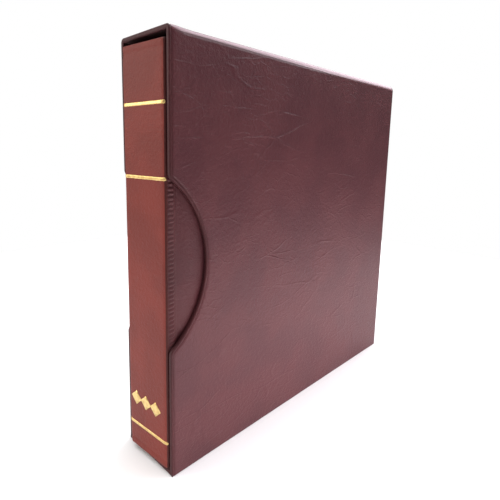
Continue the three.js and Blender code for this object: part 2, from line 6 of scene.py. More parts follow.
import bpy
import numpy as np
from mathutils import Matrix, Vector, noise


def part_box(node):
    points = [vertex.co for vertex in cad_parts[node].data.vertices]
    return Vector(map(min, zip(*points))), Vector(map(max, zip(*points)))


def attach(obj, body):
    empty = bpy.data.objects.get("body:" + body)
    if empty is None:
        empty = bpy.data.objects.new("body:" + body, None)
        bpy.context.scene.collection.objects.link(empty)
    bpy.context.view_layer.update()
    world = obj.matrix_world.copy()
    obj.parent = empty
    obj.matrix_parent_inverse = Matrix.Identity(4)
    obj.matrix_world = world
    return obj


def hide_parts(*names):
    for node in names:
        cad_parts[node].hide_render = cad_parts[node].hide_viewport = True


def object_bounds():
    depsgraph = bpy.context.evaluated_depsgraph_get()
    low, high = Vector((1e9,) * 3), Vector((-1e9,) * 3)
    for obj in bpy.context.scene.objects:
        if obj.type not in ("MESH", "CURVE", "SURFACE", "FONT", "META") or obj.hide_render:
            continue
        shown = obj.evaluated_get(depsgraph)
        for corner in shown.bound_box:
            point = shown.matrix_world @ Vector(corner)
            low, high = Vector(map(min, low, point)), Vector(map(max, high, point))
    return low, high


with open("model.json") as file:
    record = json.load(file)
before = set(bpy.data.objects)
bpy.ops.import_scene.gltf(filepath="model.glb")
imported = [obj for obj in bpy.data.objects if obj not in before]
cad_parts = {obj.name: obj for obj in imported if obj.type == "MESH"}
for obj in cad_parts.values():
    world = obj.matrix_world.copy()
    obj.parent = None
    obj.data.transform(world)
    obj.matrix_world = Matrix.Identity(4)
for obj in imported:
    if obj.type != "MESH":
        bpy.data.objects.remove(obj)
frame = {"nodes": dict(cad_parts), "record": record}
cad_low, cad_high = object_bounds()

MM = 0.001

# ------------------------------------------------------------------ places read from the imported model


def node_box(name):
    low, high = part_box(name)
    return Vector(low), Vector(high)


TOP_RIM = node_box("case_top_rim")
SIDE_RIM = node_box("case_front_side_rim")
REAR_SKIN = node_box("case_rear_skin")
MOUTH_Y = TOP_RIM[0].y
RIM_DEPTH = TOP_RIM[1].y - TOP_RIM[0].y
CASE_HALF = TOP_RIM[1].x
CASE_TOP = TOP_RIM[1].z
CASE_FOOT = 0.0
CASE_REAR = REAR_SKIN[1].y
OPENINGS = {o["name"]: o["box_m"] for o in frame["record"]["physics"]["openings"]}
NOTCH_Z = (OPENINGS["thumb_notch_front"][0][2] + OPENINGS["thumb_notch_front"][1][2]) / 2
NOTCH_R = 64 * MM
NOTCH_APEX_Y = SIDE_RIM[1].y - RIM_DEPTH
NOTCH_CENTRE_Y = NOTCH_APEX_Y - NOTCH_R
NOTCH_CORNER = 5 * MM

SPINE = node_box("spine_skin")
SPINE_FOOT = SPINE[0].z
SPINE_TOP = SPINE[1].z

# The spine's face slants: it stands further out of the mouth at its back edge than at its front one.
OUT_FRONT = 1.3 * MM
ROUND_BACK = 3.0 * MM
ROUND_FRONT = 1.7 * MM
SOFT_FRONT = 4.2 * MM
FOOT_LIFT = 1.0 * MM
EDGE_IN = 0.9 * MM

# ------------------------------------------------------------------ mesh helpers


def smooth(t):
    """Eases from 0 to 1 as t goes from 0 to 1."""
    t = np.clip(t, 0.0, 1.0)
    return t * t * (3 - 2 * t)


def mesh_object(name, points, faces, material, body):
    """A smooth-shaded piece of one material that rides on a body."""
    mesh = bpy.data.meshes.new(name)
    mesh.from_pydata([tuple(p) for p in points], [], faces)
    mesh.validate()
    mesh.update()
    for polygon in mesh.polygons:
        polygon.use_smooth = True
    mesh.materials.append(material)
    piece = bpy.data.objects.new(name, mesh)
    bpy.context.collection.objects.link(piece)
    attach(piece, body)
    return piece


def grid_faces(rows, cols, close_cols=False, flip=False):
    """Four-sided faces over a grid of points, joined round into a tube if close_cols is set."""
    faces = []
    for i in range(rows - 1):
        for j in range(cols if close_cols else cols - 1):
            a = i * cols + j
            b = i * cols + (j + 1) % cols
            c = (i + 1) * cols + (j + 1) % cols
            d = (i + 1) * cols + j
            faces.append((a, d, c, b) if flip else (a, b, c, d))
    return faces


def thicken(piece, thickness):
    """Gives an open sheet its thickness, on the side away from its faces."""
    solid = piece.modifiers.new("thickness", "SOLIDIFY")
    solid.thickness = thickness
    solid.offset = -1.0
    solid.use_even_offset = False
    return piece


def polyline_normals(points):
    """Unit normals of an open polyline in the plane, to the left of its direction."""
    step = np.gradient(points, axis=0)
    step /= np.linalg.norm(step, axis=1, keepdims=True)
    return np.stack([-step[:, 1], step[:, 0]], axis=1)


def arc(centre, radius, start_deg, end_deg, count):
    angles = np.radians(np.linspace(start_deg, end_deg, count))
    return np.stack([centre[0] + radius * np.cos(angles), centre[1] + radius * np.sin(angles)], axis=1)


def soft_noise(x, y, z, size, seed=0.0):
    return noise.noise(Vector((x / size + seed, y / size - seed, z / size + 2 * seed)))


# ------------------------------------------------------------------ materials


class Nodes:
    """Small helper for building a material's node tree."""

    def __init__(self, name):
        self.material = bpy.data.materials.new(name)
        self.material.use_nodes = True
        self.tree = self.material.node_tree
        self.shader = self.tree.nodes["Principled BSDF"]

    def add(self, kind, **inputs):
        node = self.tree.nodes.new(kind)
        for key, value in inputs.items():
            self.put(node, key, value)
        return node

    def put(self, node, key, value):
        socket = node.inputs[key.replace("_", " ")] if isinstance(key, str) else node.inputs[key]
        if isinstance(value, bpy.types.NodeSocket):
            self.tree.links.new(value, socket)
        else:
            socket.default_value = value

    def place(self, stretch=(1, 1, 1), turn=(0, 0, 0)):
        coordinates = self.tree.nodes.new("ShaderNodeTexCoord")
        mapping = self.tree.nodes.new("ShaderNodeMapping")
        mapping.inputs["Scale"].default_value = stretch
        mapping.inputs["Rotation"].default_value = turn
        self.tree.links.new(coordinates.outputs["Object"], mapping.inputs["Vector"])
        return mapping.outputs["Vector"]

    def noise(self, vector, scale, detail=3.0, roughness=0.5, distortion=0.0):
        node = self.add("ShaderNodeTexNoise", Vector=vector, Scale=scale, Detail=detail)
        node.inputs["Roughness"].default_value = roughness
        node.inputs["Distortion"].default_value = distortion
        return node.outputs["Fac"]

    def bend(self, vector, scale, amount):
        """Pushes a place about by smooth noise, so that straight patterns wander."""
        noise_node = self.add("ShaderNodeTexNoise", Vector=vector, Scale=scale, Detail=2.0)
        centred = self.tree.nodes.new("ShaderNodeVectorMath")
        centred.operation = "SUBTRACT"
        self.put(centred, 0, noise_node.outputs["Color"])
        centred.inputs[1].default_value = (0.5, 0.5, 0.5)
        scaled = self.tree.nodes.new("ShaderNodeVectorMath")
        scaled.operation = "SCALE"
        self.put(scaled, 0, centred.outputs[0])
        scaled.inputs["Scale"].default_value = amount
        added = self.tree.nodes.new("ShaderNodeVectorMath")
        added.operation = "ADD"
        self.put(added, 0, vector)
        self.put(added, 1, scaled.outputs[0])
        return added.outputs[0]

    def cells(self, vector, scale, feature="F1"):
        node = self.tree.nodes.new("ShaderNodeTexVoronoi")
        node.feature = feature
        self.put(node, "Vector", vector)
        node.inputs["Scale"].default_value = scale
        return node.outputs["Distance"]

    def math(self, operation, a, b=0.0):
        node = self.tree.nodes.new("ShaderNodeMath")
        node.operation = operation
        self.put(node, 0, a)
        self.put(node, 1, b)
        return node.outputs[0]

    def span(self, value, low, high, to_low, to_high):
        node = self.tree.nodes.new("ShaderNodeMapRange")
        node.interpolation_type = "SMOOTHSTEP"
        self.put(node, "Value", value)
        for key, number in zip(("From Min", "From Max", "To Min", "To Max"), (low, high, to_low, to_high)):
            node.inputs[key].default_value = number
        return node.outputs["Result"]

    def mix(self, factor, a, b):
        node = self.tree.nodes.new("ShaderNodeMix")
        node.data_type = "RGBA"
        self.put(node, 0, factor)
        self.put(node, 6, a)
        self.put(node, 7, b)
        return node.outputs[2]

    def bump(self, height, strength, distance, normal=None):
        node = self.tree.nodes.new("ShaderNodeBump")
        self.put(node, "Height", height)
        node.inputs["Strength"].default_value = strength
        node.inputs["Distance"].default_value = distance
        if normal is not None:
            self.put(node, "Normal", normal)
        return node.outputs["Normal"]


def leatherette(name, light, dark, roughness=0.42, crease=1.0, grain=1.0, shine=0.25):
    """Pressed leather-grain vinyl: fine pebble grain, a net of long thin creases and an uneven gloss."""
    n = Nodes(name)
    plain = n.place()
    drift = n.noise(plain, 30, detail=3)
    bent = n.bend(n.place(stretch=(1, 0.45, 1.3), turn=(0.40, 0, 0)), 30, 0.022)
    fine_bent = n.bend(n.place(stretch=(1, 0.55, 1.2), turn=(0.62, 0, 0)), 70, 0.012)
    long_lines = n.span(n.cells(bent, 34, "DISTANCE_TO_EDGE"), 0.0, 0.030, 1.0, 0.0)
    short_lines = n.span(n.cells(fine_bent, 110, "DISTANCE_TO_EDGE"), 0.0, 0.07, 1.0, 0.0)
    long_mask = n.span(n.noise(plain, 26, detail=2), 0.46, 0.66, 0.0, 1.0)
    short_mask = n.span(n.noise(plain, 30, detail=2, distortion=0.5), 0.44, 0.68, 0.0, 1.0)
    lines = n.math("MULTIPLY", long_lines, long_mask)
    lines = n.math("ADD", lines, n.math("MULTIPLY", n.math("MULTIPLY", short_lines, short_mask), 0.6))
    pebble = n.cells(plain, 1300, "SMOOTH_F1")
    uneven = n.noise(plain, 420, detail=4, roughness=0.7)
    tone = n.math("ADD", n.math("MULTIPLY", drift, 0.8), n.math("MULTIPLY", uneven, 0.2))
    n.put(n.shader, "Base Color", n.mix(n.span(tone, 0.38, 0.62, 0.0, 1.0), dark, light))
    gloss = n.math("ADD", n.math("MULTIPLY", drift, 0.06), n.math("MULTIPLY", uneven, 0.08))
    n.put(n.shader, "Roughness", n.math("ADD", gloss, roughness - 0.07))
    n.shader.inputs["Specular IOR Level"].default_value = shine
    soft = n.bump(n.noise(plain, 60, detail=3), 0.10, 1.0 * MM)
    creased = n.bump(n.math("MULTIPLY", lines, crease), 0.58, 0.36 * MM, soft)
    wavy = n.bump(n.math("MULTIPLY", uneven, grain), 0.6, 0.8 * MM, creased)
    n.put(n.shader, "Normal", n.bump(n.math("MULTIPLY", pebble, grain), 0.35, 0.15 * MM, wavy))
    return n.material


def stretched_edge_painted_highlight(name, colour):
    """The same vinyl pulled tight over the top edges: smoother and much shinier. Its lighter, pinker colour,
    with the pink coat tint, is painted highlight.
    """
    n = Nodes(name)
    plain = n.place()
    worn = n.noise(plain, 160, detail=3)
    n.shader.inputs["Base Color"].default_value = colour
    n.put(n.shader, "Roughness", n.span(worn, 0.3, 0.7, 0.34, 0.42))
    n.shader.inputs["Specular IOR Level"].default_value = 0.55
    n.shader.inputs["Coat Weight"].default_value = 0.6
    n.shader.inputs["Coat Roughness"].default_value = 0.24
    n.shader.inputs["Coat Tint"].default_value = (1.0, 0.80, 0.88, 1)
    n.put(n.shader, "Normal", n.bump(worn, 0.08, 0.3 * MM))
    return n.material


def gold_foil():
    """Hot-pressed foil: bright, a little uneven where the grain shows through."""
    n = Nodes("gold_foil")
    plain = n.place()
    worn = n.noise(plain, 420, detail=3)
    wear = n.span(worn, 0.35, 0.65, 0.0, 1.0)
    n.put(n.shader, "Base Color", n.mix(wear, (0.64, 0.43, 0.15, 1), (0.82, 0.61, 0.25, 1)))
    n.shader.inputs["Metallic"].default_value = 0.75
    n.put(n.shader, "Roughness", n.span(worn, 0.3, 0.7, 0.30, 0.46))
    n.put(n.shader, "Normal", n.bump(n.cells(plain, 1100, "SMOOTH_F1"), 0.2, 0.1 * MM))
    return n.material


def nickel():
    n = Nodes("nickel_steel")
    brushed = n.noise(n.place(stretch=(1, 1, 0.06)), 900, detail=3)
    n.shader.inputs["Metallic"].default_value = 1.0
    n.put(n.shader, "Base Color", n.mix(brushed, (0.58, 0.58, 0.60, 1), (0.74, 0.74, 0.75, 1)))
    n.put(n.shader, "Roughness", n.span(brushed, 0.3, 0.7, 0.14, 0.26))
    n.put(n.shader, "Normal", n.bump(brushed, 0.06, 0.05 * MM))
    return n.material


def greyboard():
    n = Nodes("greyboard")
    fibres = n.noise(n.place(stretch=(1, 1, 0.3)), 700, detail=5, roughness=0.7)
    n.put(n.shader, "Base Color", n.mix(fibres, (0.20, 0.18, 0.15, 1), (0.34, 0.31, 0.27, 1)))
    n.shader.inputs["Roughness"].default_value = 0.9
    n.put(n.shader, "Normal", n.bump(fibres, 0.4, 0.15 * MM))
    return n.material


def lining():
    """Thin dark lining sheet with a fine pressed linen pattern."""
    n = Nodes("lining_sheet")
    plain = n.place()
    linen = n.cells(plain, 1500, "F1")
    shade = n.noise(plain, 40, detail=3)
    n.put(n.shader, "Base Color", n.mix(shade, (0.030, 0.012, 0.012, 1), (0.052, 0.020, 0.019, 1)))
    n.put(n.shader, "Roughness", n.span(shade, 0.3, 0.7, 0.55, 0.70))
    n.put(n.shader, "Normal", n.bump(linen, 0.25, 0.08 * MM))
    return n.material


def foam():
    n = Nodes("foam")
    pores = n.cells(n.place(), 1400, "F1")
    n.put(n.shader, "Base Color", n.mix(pores, (0.62, 0.57, 0.48, 1), (0.76, 0.72, 0.64, 1)))
    n.shader.inputs["Roughness"].default_value = 0.95
    n.put(n.shader, "Normal", n.bump(pores, 0.4, 0.2 * MM))
    return n.material


def page_film():
    """Black stock-page film with a soft sheen and faint handling marks."""
    n = Nodes("page_film")
    plain = n.place()
    marks = n.noise(plain, 55, detail=5, roughness=0.65, distortion=0.6)
    n.put(n.shader, "Base Color", n.mix(marks, (0.010, 0.010, 0.012, 1), (0.022, 0.022, 0.026, 1)))
    n.put(n.shader, "Roughness", n.span(marks, 0.3, 0.7, 0.22, 0.42))
    n.put(n.shader, "Normal", n.bump(marks, 0.10, 0.4 * MM))
    return n.material


CASE_VINYL = leatherette("case_leatherette", (0.082, 0.0235, 0.027, 1), (0.068, 0.019, 0.023, 1), 0.40)
# The mouth's rim is the case vinyl painted darker: painted shade at the mouth, where the proud spine shades it.
RIM_VINYL_PAINTED_SHADE = leatherette(
    "rim_leatherette_painted_shade", (0.062, 0.016, 0.018, 1), (0.050, 0.013, 0.015, 1), 0.50, crease=0.2, shine=0.2
)
# Lighter and pinker than the case vinyl: painted highlight along the rounded top edges.
EDGE_VINYL_PAINTED_HIGHLIGHT = stretched_edge_painted_highlight("edge_leatherette_painted_highlight", (0.105, 0.028, 0.034, 1))
SPINE_VINYL = leatherette(
    "spine_leatherette", (0.205, 0.034, 0.024, 1), (0.170, 0.028, 0.020, 1), 0.50, crease=0.3, shine=0.2
)
# The spine vinyl painted far darker for its rounded front edge: painted shade where the edge turns away from the
# light.
TURNED_VINYL_PAINTED_SHADE = leatherette(
    "turned_leatherette_painted_shade", (0.060, 0.012, 0.010, 1), (0.050, 0.010, 0.009, 1), 0.50, crease=0.2, shine=0.2
)
# Darker than the case vinyl: painted shade for the cover seen inside the thumb notch.
COVER_VINYL_PAINTED_SHADE = leatherette(
    "cover_leatherette_painted_shade", (0.070, 0.019, 0.022, 1), (0.058, 0.016, 0.019, 1), 0.42, crease=0.3
)
# Darker than the cover vinyl: painted shade in the recessed hinge strip.
HINGE_VINYL_PAINTED_SHADE = leatherette(
    "hinge_leatherette_painted_shade", (0.066, 0.017, 0.019, 1), (0.054, 0.014, 0.016, 1), 0.46, crease=0.2
)
GOLD = gold_foil()
NICKEL = nickel()
BOARD = greyboard()
LINING = lining()
FOAM = foam()
FILM = page_film()

# ------------------------------------------------------------------ slipcase

# The rolled and welded rim at the mouth, in millimetres: (in from the outer face, behind the mouth's edge).
RIM_PROFILE = [
    (3.00, 0.93), (2.95, 0.50), (2.70, 0.20), (2.20, 0.03), (1.60, 0.00), (1.00, 0.04), (0.50, 0.18),
    (0.22, 0.45), (0.14, 0.80), (0.18, 1.15), (0.36, 1.50), (0.46, 1.80), (0.34, 2.15), (0.10, 2.60),
    (0.0, 3.3),
]
# The last rows of that profile already lie in the wall's own sheet.
RIM_BLEND = 3
REAR_ROUND = 2.0 * MM
FOOT_ROUND = 0.8 * MM
TOP_ROUND = 5.0 * MM
TOP_ROUND_AT_MOUTH = 2.8 * MM
TOP_ROUND_GROWS = 20 * MM
CORNER_SHARP = 0.3
CORNER_REACH = 5 * MM
SWAY_FROM_MOUTH = 14 * MM
SWAY_FROM_REAR = 12 * MM
SWAY_FROM_FOOT = 18 * MM
SWAY_FROM_TOP = 22 * MM
VINYL = 0.35 * MM


def notch_edge(z):
    """The mouth's edge on a side wall at height z: its y and the in-plane direction into the wall."""
    dz = z - NOTCH_Z
    side = 1.0 if dz >= 0 else -1.0
    away = abs(dz)
    centre_y = MOUTH_Y + NOTCH_CORNER
    centre_dz = math.sqrt((NOTCH_R + NOTCH_CORNER) ** 2 - (centre_y - NOTCH_CENTRE_Y) ** 2)
    meet_dz = centre_dz * NOTCH_R / (NOTCH_R + NOTCH_CORNER)
    if away >= centre_dz:
        return MOUTH_Y, (1.0, 0.0)
    if away > meet_dz:
        drop = centre_dz - away
        y = centre_y - math.sqrt(NOTCH_CORNER**2 - drop**2)
        return y, ((centre_y - y) / NOTCH_CORNER, side * drop / NOTCH_CORNER)
    y = NOTCH_CENTRE_Y + math.sqrt(NOTCH_R**2 - dz**2)
    return y, ((y - NOTCH_CENTRE_Y) / NOTCH_R, dz / NOTCH_R)


def top_round(y):
    """Radius of the case's rounded top edges at depth y: smaller at the mouth."""
    share = float(smooth((y - MOUTH_Y) / TOP_ROUND_GROWS))
    return TOP_ROUND_AT_MOUTH + (TOP_ROUND - TOP_ROUND_AT_MOUTH) * share


def side_heights():
    """Heights of the side wall's rows as shares from foot to top, closer at the notch's corners."""
    z = np.linspace(0, 1, 1200)
    real = CASE_FOOT + z * (CASE_TOP - CASE_FOOT)
    away = np.abs(real - NOTCH_Z)
    density = 1 + 2.2 * np.exp(-(((away - 53 * MM) / (6 * MM)) ** 2))
    total = np.concatenate([[0], np.cumsum((density[1:] + density[:-1]) / 2)])
    return np.interp(np.linspace(0, total[-1], 168), total, z)


HEIGHTS = side_heights()


def half_section(inset, corner):
    """Half of the case's cross-section, `inset` under its face, from the foot's middle up and over."""
    half = CASE_HALF - inset
    foot = CASE_FOOT + inset
    top = CASE_TOP - inset
    foot_round = max(FOOT_ROUND - inset, 0.25 * MM)
    corner = max(corner - inset, 0.25 * MM)
    across = np.linspace(0, 1, 9)
    bottom = np.stack([across[:-1] * (half - foot_round), np.full(8, foot)], axis=1)
    low = arc((half - foot_round, foot + foot_round), foot_round, -90, 0, 5)
    side_z = foot + foot_round + HEIGHTS * (top - corner - foot - foot_round)
    side = np.stack([np.full(len(side_z), half), side_z], axis=1)[1:-1]
    high = arc((half - corner, top - corner), corner, 0, 90, 9)
    over = np.stack([(1 - across[1:]) * (half - corner), np.full(8, top)], axis=1)
    return np.concatenate([bottom, low, side, high, over])


def wall_sway(y, z):
    """How far a side wall's soft sheet sinks at a place: broad dents and long slanting creases."""
    broad = soft_noise(0.0, y, z, 75 * MM, 3.1)
    long_crease = soft_noise(0.0, y + 0.5 * z, (z - 0.6 * y) * 0.35, 17 * MM, 7.7)
    return -(0.16 * MM * (broad + 0.6) + 0.07 * MM * long_crease)


def sharpen_foot_corner(points):
    """The folded sheet comes to a sharp corner at the foot of the mouth."""
    corner = np.array([CASE_HALF, MOUTH_Y, CASE_FOOT])
    offset = points - corner
    distance = np.linalg.norm(offset, axis=-1, keepdims=True)
    share = CORNER_SHARP + (1 - CORNER_SHARP) * smooth(distance / CORNER_REACH)
    return corner + offset * share


def case_cover():
    """The slipcase's leatherette: four sides, rear and rolled mouth rim in one soft sheet."""
    depths = np.linspace(0, 1, 96)[1:]
    rear_angles = np.radians([18, 36, 54, 72, 90])
    rear_turn = [(REAR_ROUND * (1 - math.cos(a)), REAR_ROUND * (1 - math.sin(a))) for a in rear_angles]
    count = len(half_section(0.0, TOP_ROUND))
    flat_side = half_section(0.0, TOP_ROUND)
    on_side = np.abs(flat_side[:, 0] - CASE_HALF) < 1e-6
    columns = []
    for inset, behind in RIM_PROFILE:
        section = half_section(inset * MM, top_round(MOUTH_Y + behind * MM))
        points = np.zeros((count, 3))
        for k, (x, z) in enumerate(section):
            y, (toward_y, toward_z) = notch_edge(z) if on_side[k] else (MOUTH_Y, (1.0, 0.0))
            points[k] = (x, y + behind * MM * toward_y, z + behind * MM * toward_z)
        columns.append(points)
    edge = columns[-1]
    last_y = CASE_REAR - REAR_ROUND
    for depth in depths:
        points = np.zeros((count, 3))
        for k in range(count):
            y = edge[k, 1] + (last_y - edge[k, 1]) * depth
            section = half_section(0.0, top_round(y))
            x, z = section[k]
            if on_side[k]:
                z = edge[k, 2] + (z - edge[k, 2]) * depth
                from_edge = smooth((y - edge[k, 1]) / SWAY_FROM_MOUTH) * smooth((last_y - y) / SWAY_FROM_REAR)
                from_ends = smooth((z - CASE_FOOT) / SWAY_FROM_FOOT) * smooth((CASE_TOP - z) / SWAY_FROM_TOP)
                x += wall_sway(y, z) * float(from_edge * from_ends)
            points[k] = (x, y, z)
        columns.append(points)
    for inset, before_rear in rear_turn:
        section = half_section(inset, TOP_ROUND)
        depth = np.full(count, CASE_REAR - before_rear)
        columns.append(np.stack([section[:, 0], depth, section[:, 1]], axis=1))
    for inset in (3, 6, 10):
        section = half_section(inset * MM, TOP_ROUND + 2 * MM)
        columns.append(np.stack([section[:, 0], np.full(count, CASE_REAR), section[:, 1]], axis=1))
    half = sharpen_foot_corner(np.array(columns))
    mirrored = half[:, ::-1][:, 1:-1] * np.array([-1, 1, 1])
    whole = np.concatenate([half, mirrored], axis=1)
    rows, cols = whole.shape[:2]
    faces = grid_faces(rows, cols, close_cols=True, flip=True)
    last = (rows - 1) * cols
    faces.append(tuple(last + j for j in range(cols - 1, -1, -1)))
    piece = mesh_object("case_cover", whole.reshape(-1, 3), faces, CASE_VINYL, "slipcase")
    piece.data.materials.append(RIM_VINYL_PAINTED_SHADE)
    piece.data.materials.append(EDGE_VINYL_PAINTED_HIGHLIGHT)
    rim_rows = len(RIM_PROFILE) - RIM_BLEND
    last_on_side = int(np.nonzero(on_side)[0][-1])
    # Rim rows take the darker vinyl, painted shade; the top edge rows take the lighter, shinier vinyl, whose
    # colour is painted highlight.
    for polygon in piece.data.polygons:
        places = [v % cols for v in polygon.vertices]
        if min(polygon.vertices) // cols < rim_rows:
            polygon.material_index = 1
        elif min(places) >= last_on_side and max(places) <= cols - last_on_side:
            polygon.material_index = 2
    thicken(piece, VINYL)
    skins = [f"case_{side}_side_{part}" for side in ("front", "back") for part in ("skin", "rim")]
    skins += ["case_top_skin", "case_bottom_skin", "case_rear_skin", "case_top_rim", "case_bottom_rim"]
    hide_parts(*skins)
    return piece


# ------------------------------------------------------------------ spine


def spine_section():
    """The spine's cross-section in (x, y) from the back edge round the face to the front edge."""
    back = (SPINE[0].x + EDGE_IN + ROUND_BACK, SPINE[0].y + ROUND_BACK)
    front = (SPINE[1].x - ROUND_FRONT, MOUTH_Y - OUT_FRONT + ROUND_FRONT)
    across = (front[0] - back[0], front[1] - back[1])
    slant = math.atan2(across[1], across[0]) + math.asin((ROUND_BACK - ROUND_FRONT) / math.hypot(*across))
    turn_back = arc(back, ROUND_BACK, 180, 270 + math.degrees(slant), 14)
    # the front edge turns more softly than a round one: a flattened quarter of an ellipse
    start = math.atan(math.tan(slant) * SOFT_FRONT / ROUND_FRONT)
    turns = np.linspace(start, math.pi / 2, 14)
    soft = np.stack([
        SPINE[1].x - SOFT_FRONT + SOFT_FRONT * np.sin(turns),
        -ROUND_FRONT * np.cos(turns),
    ], axis=1)
    face_y = turn_back[-1, 1] + (soft[0, 0] - turn_back[-1, 0]) * math.tan(slant)
    soft[:, 1] += face_y - soft[0, 1]
    face = np.linspace(turn_back[-1], soft[0], 44)[1:-1]
    leg = np.linspace((SPINE[0].x + EDGE_IN, SPINE[1].y), turn_back[0], 4)[:-1]
    end = np.array([(SPINE[1].x, SPINE[1].y)])
    return np.concatenate([leg, turn_back, face, soft, end])


# Points of the section, counted from its front end, that lie on the turned-in edge; they take the darker vinyl,
# painted shade.
TURNED_COLUMNS = 8
SECTION = spine_section()
SECTION_OUT = -polyline_normals(SECTION)
SECTION_RUN = np.concatenate([[0], np.cumsum(np.linalg.norm(np.diff(SECTION, axis=0), axis=1))])

# The turned edge along the spine's top and foot: (distance in from the end, depth below the face).
TURNED_EDGE = [
    (0.90, 2.9), (0.35, 2.3), (0.05, 1.5), (0.0, 1.0), (0.16, 0.5), (0.6, 0.14), (1.3, 0.0), (2.2, 0.0),
    (3.1, 0.08), (3.9, 0.24), (4.6, 0.34), (5.4, 0.28), (6.6, 0.12), (8.0, 0.0),
]


def spine_point(run, out):
    """A point on the spine's section `run` along it and `out` beyond its surface."""
    x = np.interp(run, SECTION_RUN, SECTION[:, 0])
    y = np.interp(run, SECTION_RUN, SECTION[:, 1])
    nx = np.interp(run, SECTION_RUN, SECTION_OUT[:, 0])
    ny = np.interp(run, SECTION_RUN, SECTION_OUT[:, 1])
    size = math.hypot(nx, ny)
    return x + out * nx / size, y + out * ny / size


def run_at_x(x):
    """Where the spine's face has this x."""
    inside = slice(16, len(SECTION) - 12)
    return float(np.interp(x, SECTION[inside, 0], SECTION_RUN[inside]))


def spine_cover():
    rows = [(SPINE_FOOT + a * MM, b * MM) for a, b in TURNED_EDGE]
    inner = np.linspace(SPINE_FOOT + 10 * MM, SPINE_TOP - 10 * MM, 110)
    rows += [(z, 0.0) for z in inner]
    rows += [(SPINE_TOP - a * MM, b * MM) for a, b in reversed(TURNED_EDGE)]
    points = []
    for z, sunk in rows:
        low = 1 - float(smooth((z - SPINE_FOOT) / (60 * MM)))
        for k, run in enumerate(SECTION_RUN):
            ripple = 0.10 * MM * soft_noise(SECTION[k, 0], 0.0, z, 26 * MM, 5.5)
            x, y = spine_point(run, -sunk + (ripple if sunk == 0.0 else 0.0))
            across = (x - SPINE[0].x) / (SPINE[1].x - SPINE[0].x)
            points.append((x, y, z + FOOT_LIFT * low * (1 - 0.2 * across)))
    faces = grid_faces(len(rows), len(SECTION_RUN), flip=False)
    piece = mesh_object("spine_cover", points, faces, SPINE_VINYL, "album")
    piece.data.materials.append(TURNED_VINYL_PAINTED_SHADE)
    columns = len(SECTION_RUN)
    first_turned = columns - TURNED_COLUMNS
    # The front edge's columns get the darker copy: painted shade.
    for polygon in piece.data.polygons:
        if min(v % columns for v in polygon.vertices) >= first_turned:
            polygon.material_index = 1
    thicken(piece, 0.45 * MM)
    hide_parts("spine_skin", "spine_foam")
    return piece


def foil_line(name, z, half_height):
    """A foil line pressed round the spine from one rounded edge to the other, with round ends."""
    start = SECTION_RUN[5]
    end = SECTION_RUN[-4]
    runs = np.concatenate([
        start + half_height * (1 - np.cos(np.radians(np.linspace(4, 90, 8)))),
        np.linspace(start + half_height, end - half_height, 70)[1:-1],
        end - half_height * (1 - np.cos(np.radians(np.linspace(90, 4, 8)))),
    ])
    points = []
    for run in runs:
        from_end = min(run - start, end - run, half_height)
        reach = half_height * math.sqrt(max(1 - (1 - from_end / half_height) ** 2, 0.02))
        for share in (-1.0, -0.5, 0.0, 0.5, 1.0):
            ragged = 0.06 * MM * soft_noise(run, share, z, 1.6 * MM, 1.3)
            x, y = spine_point(run, 0.10 * MM)
            points.append((x, y, z + share * (reach + ragged)))
    piece = mesh_object(name, points, grid_faces(len(runs), 5, flip=True), GOLD, "album")
    thicken(piece, 0.16 * MM)
    return piece


def foil_lines():
    for place in ("top", "middle", "bottom"):
        node = f"spine_line_{place}"
        low, high = node_box(node)
        piece = foil_line(f"foil_line_{place}", (low.z + high.z) / 2, (high.z - low.z) / 2)
        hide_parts(node)


DIAMONDS = 3


def foil_ornament():
    """A plain chain of three diamonds, pressed into the spine's face."""
    low, high = node_box("spine_ornament")
    middle_z = (low.z + high.z) / 2
    half_height = (high.z - low.z) / 2
    width = (high.x - low.x) / DIAMONDS
    link = 0.4 * MM
    outline = []
    for i in range(DIAMONDS):
        outline += [(low.x + i * width, link), (low.x + (i + 0.5) * width, half_height)]
    outline.append((high.x, link))
    columns = []
    for (x0, h0), (x1, h1) in zip(outline[:-1], outline[1:]):
        for share in np.linspace(0, 1, 6)[:-1]:
            columns.append((x0 + (x1 - x0) * share, h0 + (h1 - h0) * share))
    columns.append(outline[-1])
    points = []
    for x, h in columns:
        px, py = spine_point(run_at_x(x), 0.10 * MM)
        points += [(px, py, middle_z + share * h) for share in (-1, -0.5, 0, 0.5, 1)]
    piece = mesh_object("foil_ornament", points, grid_faces(len(columns), 5, flip=True), GOLD, "album")
    thicken(piece, 0.16 * MM)
    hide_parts("spine_ornament")


# ------------------------------------------------------------------ hinge strips and covers

RIB_PITCH = 2.7 * MM


def hinge_strip(side):
    """The thin strip between spine and cover, with a column of soft pressed ribs."""
    node = f"{side}_hinge_strip"
    low, high = node_box(node)
    outer = high.x if side == "front" else low.x
    inward = -1.0 if side == "front" else 1.0
    rib_rise = 0.55 * MM
    rib_near = low.y + 0.35 * MM
    rib_far = low.y + 4.15 * MM
    ys = np.linspace(low.y - 0.1 * MM, high.y + 0.4 * MM, 17)
    zs = np.arange(low.z, high.z, RIB_PITCH / 9)
    points = []
    for z in zs:
        wave = 0.5 + 0.5 * math.cos(2 * math.pi * (z - low.z) / RIB_PITCH)
        rib = float(smooth((wave - 0.15) / 0.8))
        for y in ys:
            across = float(smooth((y - rib_near) / (0.7 * MM)) * smooth((rib_far - y) / (0.7 * MM)))
            points.append((outer + inward * (rib_rise * (1 - rib * across) + 0.05 * MM), y, z))
    faces = grid_faces(len(zs), len(ys), flip=(side == "front"))
    piece = mesh_object(f"{side}_hinge", points, faces, HINGE_VINYL_PAINTED_SHADE, "album")
    thicken(piece, 0.4 * MM)
    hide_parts(node)


COVER_EDGE = [
    # (inset from the outline, share of the edge's height)
    (0.25, 0.0), (0.06, 0.15), (0.0, 0.35), (0.0, 0.65), (0.10, 0.85), (0.35, 0.97), (0.8, 1.0),
]
